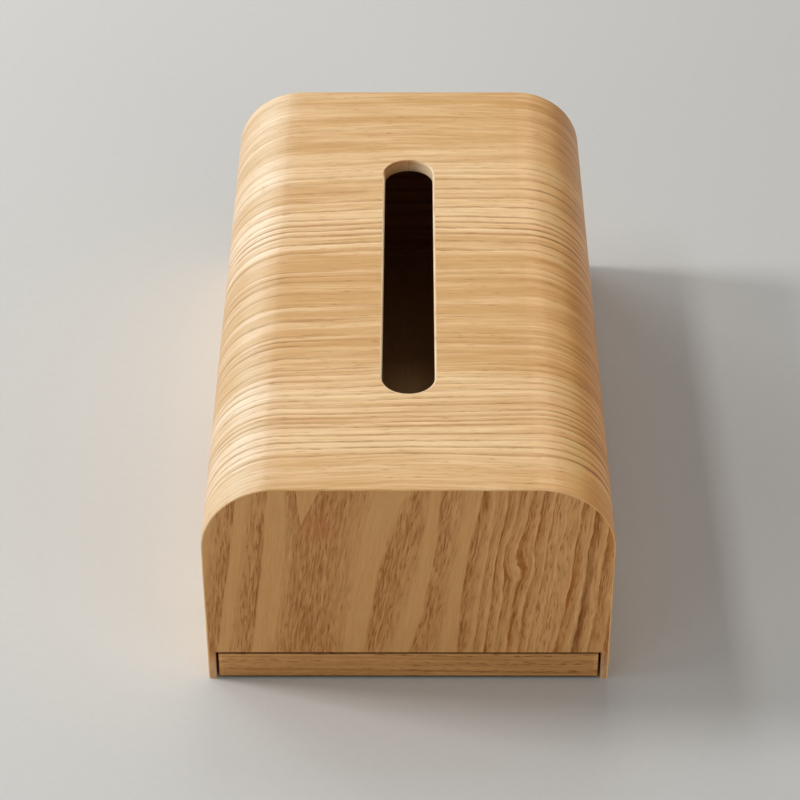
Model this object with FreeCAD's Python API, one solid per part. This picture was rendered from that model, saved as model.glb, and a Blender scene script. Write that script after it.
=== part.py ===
import FreeCAD, Part
import math
import os

# Tissue box on a pull-out base.
#
# A bent-laminated shell, shaped like an arch, is closed by a front and a back panel, and every show
# face is veneered. A flat drawer closes the open base: its front rail fills the opening under the
# front panel, its side rails are grooved and slide on two runners inside the shell, and magnets at the
# rear hold it shut. It has no stop and comes right out, so that the box can be filled from below.
#
# Frame: origin at the centre of the footprint, on the surface that the box stands on. +X to the right,
# +Y from the front to the back, +Z up. Millimetres.

V = FreeCAD.Vector

# --- Case, outside -----------------------------------------------------------------------------
case_width = 140.0
case_length = 255.0
case_height = 86.0
corner_radius = 26.5  # outside of the bend between the top and each side

# --- Shell lamination, from the outside in -----------------------------------------------------
shell_veneer = 0.5
shell_ply = 4.0
shell_lining = 0.5

# --- End panel lamination, from the outside in -------------------------------------------------
panel_veneer = 0.6
panel_ply = 4.4
panel_lining = 0.6

# --- Tissue slot in the top --------------------------------------------------------------------
slot_length = 150.0
slot_width = 18.5
slot_band_thickness = 0.8  # edge band that covers the plies inside the slot
slot_rim_round = 0.6

# --- Drawer opening ----------------------------------------------------------------------------
cheek_width = 2.75  # what is left of each side wall beside the drawer front
drawer_side_gap = 0.9
drawer_top_gap = 0.5
drawer_floor_gap = 0.5
pocket_clearance = 0.5  # behind the ends of the front rail

# --- Drawer frame and the board that it carries flush with its top -----------------------------
rail_height = 11.2
front_rail_depth = 12.0
front_rail_ease = 0.6  # rounding round the front rail's face
side_rail_width = 7.0
rear_rail_depth = 7.0
rail_to_wall = 0.6
rear_clearance = 0.3  # rear rail to back panel when shut
board_thickness = 3.0
board_ledge = 2.5  # how far the board reaches over each rail
board_edge_room = 0.3  # left round the board for it to swell

# --- Runners -----------------------------------------------------------------------------------
runner_thickness = 3.0
runner_height = 4.0
runner_bottom = 3.4
runner_clearance = 0.3  # above and below, in the side rail's groove
runner_face_clearance = 0.4
runner_front_gap = 0.5
runner_nose = 1.0  # chamfer that leads the drawer on
runner_pin_radius = 0.6
runner_pin_bite = 2.5  # into the wall
runner_pin_count = 4
runner_pin_end = 18.0  # first and last pin from the runner's ends

# --- Drawer joints -----------------------------------------------------------------------------
dowel_radius = 1.25
dowel_length = 14.0
rear_pin_radius = 0.6
rear_pin_length = 11.0

# --- Magnets -----------------------------------------------------------------------------------
magnet_radius = 2.5
magnet_thickness = 3.0
magnet_spacing = 80.0

# --- Worked out from the sizes above -----------------------------------------------------------
over = 1.0  # how far a cutting tool runs past the face it cuts
wall = shell_veneer + shell_ply + shell_lining
panel = panel_veneer + panel_ply + panel_lining
front_y = -case_length / 2
back_y = case_length / 2
inner_half = case_width / 2 - wall
inner_front_y = front_y + panel
inner_back_y = back_y - panel
opening_half = case_width / 2 - cheek_width
rail_top = drawer_floor_gap + rail_height
opening_top = rail_top + drawer_top_gap
pocket_back_y = front_y + front_rail_depth + pocket_clearance

rail_outer = inner_half - rail_to_wall
rail_inner = rail_outer - side_rail_width
rail_front_y = front_y + front_rail_depth
rail_back_y = inner_back_y - rear_clearance
rear_rail_front_y = rail_back_y - rear_rail_depth
board_bottom = rail_top - board_thickness

runner_inner = inner_half - runner_thickness
runner_front_y = pocket_back_y + runner_front_gap
runner_middle = runner_bottom + runner_height / 2
groove_floor = runner_inner - runner_face_clearance
dowel_x = (rail_inner + groove_floor) / 2


def block(x0, x1, y0, y1, z0, z1):
    """A box between two corners."""
    return Part.makeBox(x1 - x0, y1 - y0, z1 - z0, V(x0, y0, z0))


def side_block(side, x_in, x_out, y0, y1, z0, z1):
    """A box on the left (-1) or right (+1) side, given by its distances from the middle."""
    low, high = sorted((side * x_in, side * x_out))
    return block(low, high, y0, y1, z0, z1)


def arch_block(inset, y0, y1, foot=0.0):
    """A solid with the case's arched outline, moved in by inset, from y0 to y1, standing at foot."""
    half = case_width / 2 - inset
    top = case_height - inset
    radius = corner_radius - inset
    shoulder = top - radius
    flat = half - radius
    bulge = radius * math.sin(math.pi / 4)
    left_foot = V(-half, y0, foot)
    left_shoulder = V(-half, y0, shoulder)
    left_top = V(-flat, y0, top)
    right_top = V(flat, y0, top)
    right_shoulder = V(half, y0, shoulder)
    right_foot = V(half, y0, foot)
    edges = [
        Part.makeLine(left_foot, left_shoulder),
        Part.Arc(left_shoulder, V(-flat - bulge, y0, shoulder + bulge), left_top).toShape(),
        Part.makeLine(left_top, right_top),
        Part.Arc(right_top, V(flat + bulge, y0, shoulder + bulge), right_shoulder).toShape(),
        Part.makeLine(right_shoulder, right_foot),
        Part.makeLine(right_foot, left_foot),
    ]
    return Part.Face(Part.Wire(edges)).extrude(V(0, y1 - y0, 0))


def arch_sheet(inset, thickness, y0, y1):
    """One layer of the bent shell: open at the bottom and at both ends."""
    outside = arch_block(inset, y0, y1)
    inside = arch_block(inset + thickness, y0 - over, y1 + over, foot=-over)
    return outside.cut(inside)


def slot_prism(grow, z0, z1):
    """The round-ended tissue slot, grown sideways by grow, from z0 to z1."""
    radius = slot_width / 2 + grow
    straight = slot_length / 2 - slot_width / 2
    right_front = V(radius, -straight, z0)
    right_back = V(radius, straight, z0)
    left_back = V(-radius, straight, z0)
    left_front = V(-radius, -straight, z0)
    edges = [
        Part.makeLine(right_front, right_back),
        Part.Arc(right_back, V(0, straight + radius, z0), left_back).toShape(),
        Part.makeLine(left_back, left_front),
        Part.Arc(left_front, V(0, -straight - radius, z0), right_front).toShape(),
    ]
    return Part.Face(Part.Wire(edges)).extrude(V(0, 0, z1 - z0))


def drawer_pocket():
    """The space that the front rail fills, cut from everything it passes."""
    return block(-opening_half, opening_half, front_y - over, pocket_back_y, -over, opening_top)


def slot_cutter():
    """The hole that the slot's edge band lines."""
    return slot_prism(slot_band_thickness, case_height - wall - over, case_height + over)


def runner_pin_places():
    """How far back each runner pin sits."""
    first = runner_front_y + runner_pin_end
    last = inner_back_y - runner_pin_end
    step = (last - first) / (runner_pin_count - 1)
    return [first + step * n for n in range(runner_pin_count)]


def runner_pin_set(side):
    """Headless pins through one runner into the wall."""
    length = runner_thickness + runner_pin_bite
    return [
        Part.makeCylinder(runner_pin_radius, length, V(side * runner_inner, y, runner_middle), V(side, 0, 0))
        for y in runner_pin_places()
    ]


def all_runner_pins():
    return runner_pin_set(-1) + runner_pin_set(1)


def magnet_discs(face_y, direction):
    """A pair of discs, flush with the face at face_y and let in along direction."""
    return [
        Part.makeCylinder(magnet_radius, magnet_thickness, V(x, face_y, runner_middle), V(0, direction, 0))
        for x in (-magnet_spacing / 2, magnet_spacing / 2)
    ]


def case_magnet_discs():
    return magnet_discs(inner_back_y, 1)


def drawer_magnet_discs():
    return magnet_discs(rail_back_y, -1)


def front_dowel(side):
    """Dowel that joins one side rail to the front rail, half its length in each."""
    start = V(side * dowel_x, rail_front_y - dowel_length / 2, runner_middle)
    return Part.makeCylinder(dowel_radius, dowel_length, start, V(0, 1, 0))


def rear_pin(side):
    """Pin through one side rail's groove into the end of the rear rail."""
    start = V(side * groove_floor, rail_back_y - rear_rail_depth / 2, runner_middle)
    return Part.makeCylinder(rear_pin_radius, rear_pin_length, start, V(-side, 0, 0))


def board_recess(edge_room, top):
    """The room for the board on the four rails' ledges, less edge_room all round, up to top."""
    reach = board_ledge - edge_room
    return block(
        -rail_inner - reach,
        rail_inner + reach,
        rail_front_y - reach,
        rear_rail_front_y + reach,
        board_bottom,
        top,
    )


def board_cutter():
    return board_recess(0, rail_top + over)


# --- The case ----------------------------------------------------------------------------------


def shell_face_veneer():
    """Outer veneer, wrapped from one bottom edge over the top to the other."""
    return arch_sheet(0, shell_veneer, front_y, back_y).cut(slot_cutter())


def shell_core():
    """Bent plywood core, notched at the front for the ends of the drawer's front rail."""
    sheet = arch_sheet(shell_veneer, shell_ply, front_y + panel_veneer, back_y - panel_veneer)
    return sheet.cut([slot_cutter(), drawer_pocket()] + all_runner_pins())


def shell_lining_veneer():
    """Inner veneer of the shell."""
    inset = shell_veneer + shell_ply
    sheet = arch_sheet(inset, shell_lining, front_y + panel_veneer, back_y - panel_veneer)
    return sheet.cut([slot_cutter(), drawer_pocket()] + all_runner_pins())


def slot_edge_band():
    """Band that lines the slot, with its upper and lower inner edges rounded over."""
    low = case_height - wall
    ring = slot_prism(slot_band_thickness, low, case_height).cut(slot_prism(0, low - over, case_height + over))
    inner_reach = slot_length / 2 + slot_band_thickness / 2
    rims = [
        edge
        for edge in ring.Edges
        if edge.BoundBox.ZLength < 1e-6
        and edge.BoundBox.XMax < slot_width / 2 + slot_band_thickness / 2
        and edge.BoundBox.XMin > -slot_width / 2 - slot_band_thickness / 2
        and edge.BoundBox.YMax < inner_reach
        and edge.BoundBox.YMin > -inner_reach
    ]
    return ring.makeFillet(slot_rim_round, rims)


def front_face_veneer():
    """Veneer over the whole front, the shell's ends included, open for the drawer."""
    return arch_block(shell_veneer, front_y, front_y + panel_veneer).cut(drawer_pocket())


def front_panel_core():
    """Plywood panel glued inside the front of the shell, above the drawer."""
    return arch_block(wall, front_y + panel_veneer, front_y + panel_veneer + panel_ply, foot=opening_top)


def front_lining_veneer():
    """Balancing veneer on the inside of the front panel."""
    return arch_block(wall, inner_front_y - panel_lining, inner_front_y, foot=opening_top)


def back_face_veneer():
    """Veneer over the whole back, down to the table."""
    return arch_block(shell_veneer, back_y - panel_veneer, back_y)


def back_panel_core():
    """Plywood panel glued inside the back of the shell, bored for the magnets."""
    return arch_block(wall, back_y - panel_veneer - panel_ply, back_y - panel_veneer).cut(case_magnet_discs())


def back_lining_veneer():
    """Balancing veneer on the inside of the back panel."""
    return arch_block(wall, inner_back_y, inner_back_y + panel_lining).cut(case_magnet_discs())


def runner(side):
    """Hardwood strip that carries one side of the drawer, chamfered at its front end."""
    strip = side_block(
        side, runner_inner, inner_half, runner_front_y, inner_back_y, runner_bottom, runner_bottom + runner_height
    )
    nose = [
        edge
        for edge in strip.Edges
        if abs(edge.BoundBox.YMax - runner_front_y) < 1e-6 and edge.BoundBox.XLength > runner_thickness / 2
    ]
    return strip.makeChamfer(runner_nose, nose).cut(runner_pin_set(side))


def runner_pins():
    return Part.makeCompound(all_runner_pins())


def case_magnets():
    return Part.makeCompound(case_magnet_discs())


# --- The drawer --------------------------------------------------------------------------------


def drawer_front():
    """Solid rail that closes the opening under the front panel; a fingertip hooks behind it."""
    half = opening_half - drawer_side_gap
    rail = block(-half, half, front_y, rail_front_y, drawer_floor_gap, rail_top)
    face_edges = [edge for edge in rail.Edges if edge.BoundBox.YMax < front_y + 1e-6]
    rail = rail.makeFillet(front_rail_ease, face_edges)
    return rail.cut([board_cutter(), front_dowel(-1), front_dowel(1)])


def side_rail(side):
    """Side of the drawer frame, grooved outside for the runner and rebated inside for the board."""
    rail = side_block(side, rail_inner, rail_outer, rail_front_y, rail_back_y, drawer_floor_gap, rail_top)
    groove = side_block(
        side,
        groove_floor,
        rail_outer + over,
        rail_front_y - over,
        rail_back_y + over,
        runner_bottom - runner_clearance,
        runner_bottom + runner_height + runner_clearance,
    )
    return rail.cut([groove, board_cutter(), front_dowel(side), rear_pin(side)])


def drawer_rear_rail():
    """Rear of the drawer frame, between the side rails, bored for the magnets."""
    rail = block(-rail_inner, rail_inner, rear_rail_front_y, rail_back_y, drawer_floor_gap, rail_top)
    return rail.cut([board_cutter(), rear_pin(-1), rear_pin(1)] + drawer_magnet_discs())


def drawer_board():
    """Plywood board that the tissues stand on, glued on the rails' ledges."""
    return board_recess(board_edge_room, rail_top)


def drawer_front_dowels():
    return Part.makeCompound([front_dowel(-1), front_dowel(1)])


def drawer_rear_pins():
    return Part.makeCompound([rear_pin(-1), rear_pin(1)])


def drawer_magnets():
    return Part.makeCompound(drawer_magnet_discs())


def main():
    nodes = {
        "shell_face_veneer": shell_face_veneer(),
        "shell_core": shell_core(),
        "shell_lining_veneer": shell_lining_veneer(),
        "slot_edge_band": slot_edge_band(),
        "front_face_veneer": front_face_veneer(),
        "front_panel_core": front_panel_core(),
        "front_lining_veneer": front_lining_veneer(),
        "back_face_veneer": back_face_veneer(),
        "back_panel_core": back_panel_core(),
        "back_lining_veneer": back_lining_veneer(),
        "left_runner": runner(-1),
        "right_runner": runner(1),
        "runner_pins": runner_pins(),
        "case_magnets": case_magnets(),
        "drawer_front": drawer_front(),
        "drawer_left_rail": side_rail(-1),
        "drawer_right_rail": side_rail(1),
        "drawer_rear_rail": drawer_rear_rail(),
        "drawer_board": drawer_board(),
        "drawer_front_dowels": drawer_front_dowels(),
        "drawer_rear_pins": drawer_rear_pins(),
        "drawer_magnets": drawer_magnets(),
    }
    os.makedirs("parts", exist_ok=True)
    for name, shape in nodes.items():
        shape.exportStep(f"parts/{name}.step")
        print(f"{name}: {len(shape.Solids)} solid(s), {shape.Volume:.1f} mm3, valid {shape.isValid()}")


main()
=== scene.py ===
import math

import bmesh
import bpy
from mathutils import Matrix, Vector


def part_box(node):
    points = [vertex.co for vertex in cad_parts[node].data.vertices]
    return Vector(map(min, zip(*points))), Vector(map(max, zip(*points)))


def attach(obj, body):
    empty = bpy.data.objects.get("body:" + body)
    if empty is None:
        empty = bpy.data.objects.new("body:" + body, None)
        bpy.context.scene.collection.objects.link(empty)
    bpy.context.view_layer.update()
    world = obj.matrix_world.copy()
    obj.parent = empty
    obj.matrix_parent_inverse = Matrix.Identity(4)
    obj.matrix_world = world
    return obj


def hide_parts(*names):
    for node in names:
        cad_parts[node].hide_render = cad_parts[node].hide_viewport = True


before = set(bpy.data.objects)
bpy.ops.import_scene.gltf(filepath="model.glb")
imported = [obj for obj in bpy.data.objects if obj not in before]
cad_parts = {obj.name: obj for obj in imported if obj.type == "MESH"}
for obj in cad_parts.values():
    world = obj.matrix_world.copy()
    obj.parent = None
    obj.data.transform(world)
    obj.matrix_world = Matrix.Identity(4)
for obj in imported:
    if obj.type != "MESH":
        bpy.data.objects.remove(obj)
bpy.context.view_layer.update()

mm = 0.001

shellLow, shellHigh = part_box("shell_face_veneer")
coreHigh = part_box("shell_core")[1]
bandLow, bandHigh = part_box("slot_edge_band")
faceLow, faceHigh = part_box("front_face_veneer")

# sizes in metres that the pieces share
case = {
    "half": shellHigh.x,
    "height": shellHigh.z,
    "frontY": shellLow.y,
    "backY": shellHigh.y,
    "veneer": shellHigh.x - coreHigh.x,
    "core": 4.0 * mm,
    "bend": 26.5 * mm,
    "openingHalf": 67.25 * mm,
    "openingTop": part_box("front_panel_core")[0].z,
    "drawerFront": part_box("drawer_front")[0].y,
    "slotWidth": bandHigh.x - bandLow.x,
    "slotLength": bandHigh.y - bandLow.y,
}
case["flat"] = case["half"] - case["bend"]
case["shoulder"] = case["height"] - case["bend"]

# the same in millimetres, which the materials count in
caseMm = {name: size / mm for name, size in case.items()}


# ---- helpers for node trees

class Wire:
    # a node's output, so that sums with it read as plain arithmetic
    def __init__(self, socket):
        self.socket = socket

    def __add__(self, other):
        return calc("ADD", self, other)

    def __radd__(self, other):
        return calc("ADD", other, self)

    def __sub__(self, other):
        return calc("SUBTRACT", self, other)

    def __rsub__(self, other):
        return calc("SUBTRACT", other, self)

    def __mul__(self, other):
        return calc("MULTIPLY", self, other)

    def __truediv__(self, other):
        return calc("DIVIDE", self, other)

    def __pow__(self, other):
        return calc("POWER", self, other)

    def __abs__(self):
        return calc("ABSOLUTE", self)


def wires(node):
    return {socket.name: Wire(socket) for socket in node.outputs}


def feed(socket, value):
    if isinstance(value, Wire):
        socket.id_data.links.new(value.socket, socket)
    else:
        socket.default_value = value


def feedAll(sockets, values):
    for socket, value in zip(sockets, values):
        feed(socket, value)


def setUp(node, **values):
    # capital names are the node's inputs, with _ for a space, and the other names are its settings
    for name, value in values.items():
        if name[0].isupper():
            feed(node.inputs[name.replace("_", " ")], value)
        else:
            setattr(node, name, value)
    return node


def addNode(tree, kind, **values):
    return setUp(tree.nodes.new(kind), **values)


def addBeside(values, kind, **settings):
    # a node in the tree that the wires among some values belong to
    tree = next(value.socket.id_data for value in values if isinstance(value, Wire))
    return addNode(tree, kind, **settings)


def wired(kind, **values):
    return Wire(addBeside(values.values(), kind, **values).outputs[0])


def calc(operation, *values):
    node = addBeside(values, "ShaderNodeMath", operation=operation)
    feedAll(node.inputs, values)
    return Wire(node.outputs[0])


def scaled(value, factor, offset=0.0):
    return calc("MULTIPLY_ADD", value, factor, offset)


def centred(value, amount):
    # a noise around 0.5 becomes a swing around 0
    return (value - 0.5) * amount


def combine(*parts):
    node = addBeside(parts, "ShaderNodeCombineXYZ")
    feedAll(node.inputs, parts)
    return Wire(node.outputs[0])


def splitAxes(place):
    node = addBeside([place], "ShaderNodeSeparateXYZ", Vector=place)
    return [Wire(socket) for socket in node.outputs]


def inMillimetres(place):
    return [axis * 1000.0 for axis in splitAxes(place)]


def noise(x, y, z, sizes=(1.0, 1.0), detail=2.0):
    # sizes are the lengths of one wave along x and along y, in the units of x and y
    place = combine(x / sizes[0], y / sizes[1], z)
    return wired("ShaderNodeTexNoise", Vector=place, Scale=1.0, Detail=detail)


def stretch(value, fromLow, fromHigh, toLow=0.0, toHigh=1.0, smooth=False):
    kind = "SMOOTHSTEP" if smooth else "LINEAR"
    node = addBeside([value], "ShaderNodeMapRange", clamp=True, interpolation_type=kind)
    feedAll(node.inputs, (value, fromLow, fromHigh, toLow, toHigh))
    return Wire(node.outputs[0])


def ruler(value, points):
    # a line through a few (value, result) points, held level beyond its ends
    low, high = points[0][0], points[-1][0]
    top = max(result for place, result in points)
    node = addBeside([value], "ShaderNodeFloatCurve", Value=stretch(value, low, high))
    line = node.mapping.curves[0]
    spots = [((place - low) / (high - low), result / top) for place, result in points]
    line.points[0].location = spots[0]
    line.points[-1].location = spots[-1]
    for spot in spots[1:-1]:
        line.points.new(*spot)
    for point in line.points:
        point.handle_type = "VECTOR"
    node.mapping.update()
    return Wire(node.outputs[0]) * top


def mixColor(amount, first, second, blend="MIX"):
    values = (amount, first, second)
    node = addBeside(values, "ShaderNodeMix", data_type="RGBA", blend_type=blend, clamp_result=True)
    feedAll([node.inputs[number] for number in (0, 6, 7)], values)
    return Wire(node.outputs[2])


def shadeColor(color, shade):
    return mixColor(1.0, color, combine(shade, shade, shade), "MULTIPLY")


def warmShade(color, shade):
    # wood turns browner, not greyer, as it darkens
    return mixColor(1.0, color, combine(shade ** 0.75, shade, shade ** 1.5), "MULTIPLY")


def tint(red, green, blue):
    # an ordinary screen colour, 0 to 255
    def plain(level):
        level = level / 255
        return level / 12.92 if level <= 0.04045 else ((level + 0.055) / 1.055) ** 2.4
    return (plain(red), plain(green), plain(blue), 1.0)


def startGroup(name, inputs, outputs):
    # inputs are labels with their usual values, or None for a place
    tree = bpy.data.node_groups.new(name, "ShaderNodeTree")
    for label, value in inputs.items():
        kind = "NodeSocketVector" if value is None else "NodeSocketFloat"
        socket = tree.interface.new_socket(label, in_out="INPUT", socket_type=kind)
        if value is not None:
            socket.default_value = value
    for label in outputs:
        tree.interface.new_socket(label, in_out="OUTPUT", socket_type="NodeSocketFloat")
    return tree, wires(addNode(tree, "NodeGroupInput")), addNode(tree, "NodeGroupOutput").inputs


def useGroup(group, **values):
    return wires(addBeside(values.values(), "ShaderNodeGroup", node_tree=group, **values))


def startMaterial(name):
    material = bpy.data.materials.new(name)
    material.use_nodes = True
    tree = material.node_tree
    tree.nodes.clear()
    shader = addNode(tree, "ShaderNodeBsdfPrincipled")
    addNode(tree, "ShaderNodeOutputMaterial", Surface=Wire(shader.outputs[0]))
    place = wires(addNode(tree, "ShaderNodeTexCoord"))["Object"]
    return material, shader, place


# ---- shared effects

def makeBendRuler():
    # unrolls the bent shell: how far along the sheet from the middle, and how deep under its face
    tree, given, taken = startGroup("bendRuler", {"Place": None}, ["Along", "Depth"])
    x, z = inMillimetres(given["Place"])[::2]
    outward = calc("MAXIMUM", abs(x) - caseMm["flat"], 0.0)
    upward = calc("MAXIMUM", z - caseMm["shoulder"], 0.0)
    reach = calc("SQRT", outward ** 2.0 + upward ** 2.0)
    onTop = calc("MINIMUM", abs(x), caseMm["flat"])
    onBend = calc("ARCTAN2", outward, upward) * caseMm["bend"]
    onWall = calc("MAXIMUM", caseMm["shoulder"] - z, 0.0)
    feed(taken["Along"], (onTop + onBend + onWall) * calc("SIGN", x))
    feed(taken["Depth"], caseMm["bend"] - reach)
    return tree


def makeGrowthRings():
    # the porous early wood starts sharply at each whole ring number and fades away after it
    inputs = {
        "Ring": 0.0, "Along": 0.0, "Across": 0.0, "Fade": 0.3, "Sharp": 1.5, "Wobble": 0.15, "Broken": 0.5,
        "Seed": 0.0,
    }
    tree, given, taken = startGroup("growthRings", inputs, ["Line", "Phase"])
    along, across, seed = given["Along"], given["Across"], given["Seed"]
    slow = noise(along, across, seed, (70.0, 14.0))
    quick = noise(along, across, seed, (9.0, 1.6))
    sway = centred(slow, 1.0) + centred(quick, 0.35)
    ring = given["Ring"] + sway * given["Wobble"]
    phase = calc("FRACT", ring)
    fall = stretch(phase, 0.0, given["Fade"], 1.0, 0.0) ** given["Sharp"]
    edge = stretch(phase, 0.94, 1.0)
    # each ring is broken in places of its own
    row = calc("FLOOR", ring + 0.06) * 3.7
    gaps = noise(along, row, seed + 5.0, (30.0, 1.0))
    kept = stretch(gaps, 0.36, 0.6, 1.0 - given["Broken"], 1.0)
    feed(taken["Line"], calc("MAXIMUM", fall, edge) * kept)
    feed(taken["Phase"], phase)
    return tree


def makeOpenPores():
    # short dark dashes of cut vessels, the fine fibre between them, and ragged streaks for wide bands
    inputs = {
        "Along": 0.0, "Across": 0.0, "Length": 5.0, "Pitch": 0.5, "Share": 0.4, "Thread": 2.0, "Seed": 0.0,
    }
    tree, given, taken = startGroup("openPores", inputs, ["Pores", "Fibre", "Streaks"])
    along, seed, pitch = given["Along"], given["Seed"], given["Pitch"]
    wave = centred(noise(along, given["Across"], seed + 11.0, (6.0, 2.5)), 1.0)
    across = given["Across"] + wave * pitch
    run = along / given["Length"]
    dashes = noise(run, across / pitch, seed, detail=1.0)
    limit = scaled(given["Share"], -0.35, 0.78)
    feed(taken["Pores"], stretch(dashes, limit, limit + 0.12, smooth=True))
    long = run / given["Thread"]
    threads = noise(long, across / (pitch * 1.6), seed + 3.0, detail=3.0)
    feed(taken["Fibre"], scaled(threads, 0.9, 0.45) - dashes * 0.4)
    streaks = noise(long, across / (pitch * 1.5), seed + 7.0, detail=3.0)
    feed(taken["Streaks"], stretch(streaks, 0.38, 0.62))
    return tree


bendRuler = makeBendRuler()
growthRings = makeGrowthRings()
openPores = makeOpenPores()

# how far each mark stands out of the surface, and how far marks roughen it
relief = {
    "pores": -0.6,
    "line": -0.3,
    "fibre": 0.25,
    "height": 0.12 * mm,
    "poreRough": 0.12,
    "fibreRough": 0.16,
}


def finishWood(shader, look, tone, line, pores, fibre, light=None):
    # joins tone, ring lines, pores and fibre into one lacquered wood, and gives back its colour
    color = mixColor(tone, look["pale"], look["tan"])
    color = mixColor(line * look["lineDepth"], color, look["line"])
    color = mixColor(pores * look["poreDepth"], color, look["pore"])
    swing = 2.0 * look["fibreDepth"]
    color = warmShade(color, stretch(fibre, 0.0, 1.0, 1.0 - swing, 1.0 + swing))
    if light is not None:
        color = mixColor(light[0], color, light[1])
    rough = scaled(pores, relief["poreRough"], look["rough"]) + centred(fibre, relief["fibreRough"])
    marks = scaled(pores, relief["pores"]) + scaled(line, relief["line"]) + scaled(fibre, relief["fibre"])
    bump = wired("ShaderNodeBump", Strength=look["bump"], Distance=relief["height"], Height=marks)
    setUp(
        shader, Base_Color=color, Roughness=rough, Normal=bump, IOR=1.5, Specular_IOR_Level=look["gloss"],
        Coat_Weight=look["coat"], Coat_Roughness=look["coatRough"],
    )
    return color


print("node helpers and shared effects made")


# ---- ash veneer on the bent shell, its grain running over the box from side to side

shellAshLook = {
    "pale": tint(244, 203, 149),
    "tan": tint(213, 161, 96),
    "line": tint(158, 95, 14),
    "pore": tint(163, 102, 22),
    "lineDepth": 0.76,
    "poreDepth": 0.42,
    "fibreDepth": 0.12,
    "gloss": 0.32,
    "rough": 0.44,
    "coat": 0.32,
    "coatRough": 0.4,
    "bump": 0.35,
    "lineWidth": 1.4,
    "ringSharp": 0.8,
    "ringWobble": 0.55,
    "ringBroken": 0.45,
    "poreLength": 5.0,
    "porePitch": 0.55,
    "poreThread": 4.0,
    "poreShare": 0.36,
    "lean": 0.05,
    "drift": 9.0,
    "driftWave": (110.0, 60.0),
    "cloud": 2.2,
    "cloudWave": (110.0, 5.0),
    # red, green and blue over the unrolled sheet: pinker and paler on the left bend as a painted sheen, paler
    # over the right bend as a painted highlight, and browner and darker below it as painted shade on the
    # right wall
    "paintedLightTint": [
        (-115, 0.98, 1.0, 1.04), (-85, 0.87, 0.96, 1.25), (-57, 0.86, 1.02, 1.3), (-49.5, 0.98, 1.09, 1.35),
        (-47.5, 0.95, 1.0, 1.13), (-42, 1.0, 1.01, 1.02), (25, 1.01, 1.02, 0.99), (42, 0.99, 0.97, 0.91),
        (48.3, 1.09, 1.0, 0.92), (50.3, 1.07, 0.96, 0.84), (58, 1.15, 0.97, 0.7), (65, 1.0, 0.74, 0.42),
        (80, 0.96, 0.69, 0.38), (144, 1.0, 0.9, 0.8),
    ],
    # millimetres from the front against the number of rings so far
    "rings": [
        (0, 0.3), (17.7, 3), (29.1, 6), (34, 7), (41.8, 10), (61.2, 15), (68, 17), (81, 19), (87, 21),
        (98, 22), (121.5, 25), (128.6, 27), (140, 28), (150.5, 30), (161.3, 33), (175, 35), (188, 37),
        (200.3, 40), (225.6, 42), (251, 45), (256, 45.6),
    ],
    # how strong the ring lines are
    "strength": [
        (0, 0.1), (13, 0.18), (16, 0.8), (25, 0.85), (30, 0.7), (42, 0.7), (57, 0.62), (66, 0.36),
        (90, 0.32), (105, 0.22), (118, 0.16), (128, 0.42), (138, 0.6), (148, 1.0), (158, 1.0),
        (168, 0.9), (174, 0.55), (186, 0.5), (200, 0.42), (206, 0.2), (228, 0.2), (256, 0.3),
    ],
    # how strong they stay towards the left, where fewer of them fade
    "leftStrength": [
        (0, 0.1), (12, 0.2), (18, 0.6), (60, 0.6), (66, 0.8), (125, 0.8), (212, 0.3), (256, 0.3),
    ],
    # how tan the wood is between them
    "tone": [
        (0, 0.6), (14, 0.4), (19, 0.02), (24, -0.05), (31, 0.1), (36, 0.5), (40, 0.55), (44, 0.25),
        (55, 0.1), (63, 0.25), (67, 0.6), (74, 0.7), (135, 0.85), (143, 0.35), (152, 0.4),
        (166, 0.08), (175, 0.35), (181, 0.5), (187, 0.35), (196, 0.1), (207, 0.35), (212, 0.6), (256, 0.62),
    ],
    # along the sheet in millimetres, its left half below 0: from, to, and the value at each of the two
    "leftShare": (-45.0, 0.0, 1.0, 0.2),
    # painted light on the right bend: paler than the top from 42 to 48, and back to the top's tone on the
    # wall from 56 to 62
    "bendLitStart": (42.0, 48.0, 0.08, -0.24),
    "bendLitEnd": (56.0, 62.0, 0.0, 0.32),
    "leftLines": (-60.0, -42.0, 0.2, 0.0),
    "rightLines": (42.0, 62.0, 1.0, 1.6),
    # the same within one ring, where the wood turns from tan to pale
    "flank": (0.45, 0.9, 0.2, -0.2),
}


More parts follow.
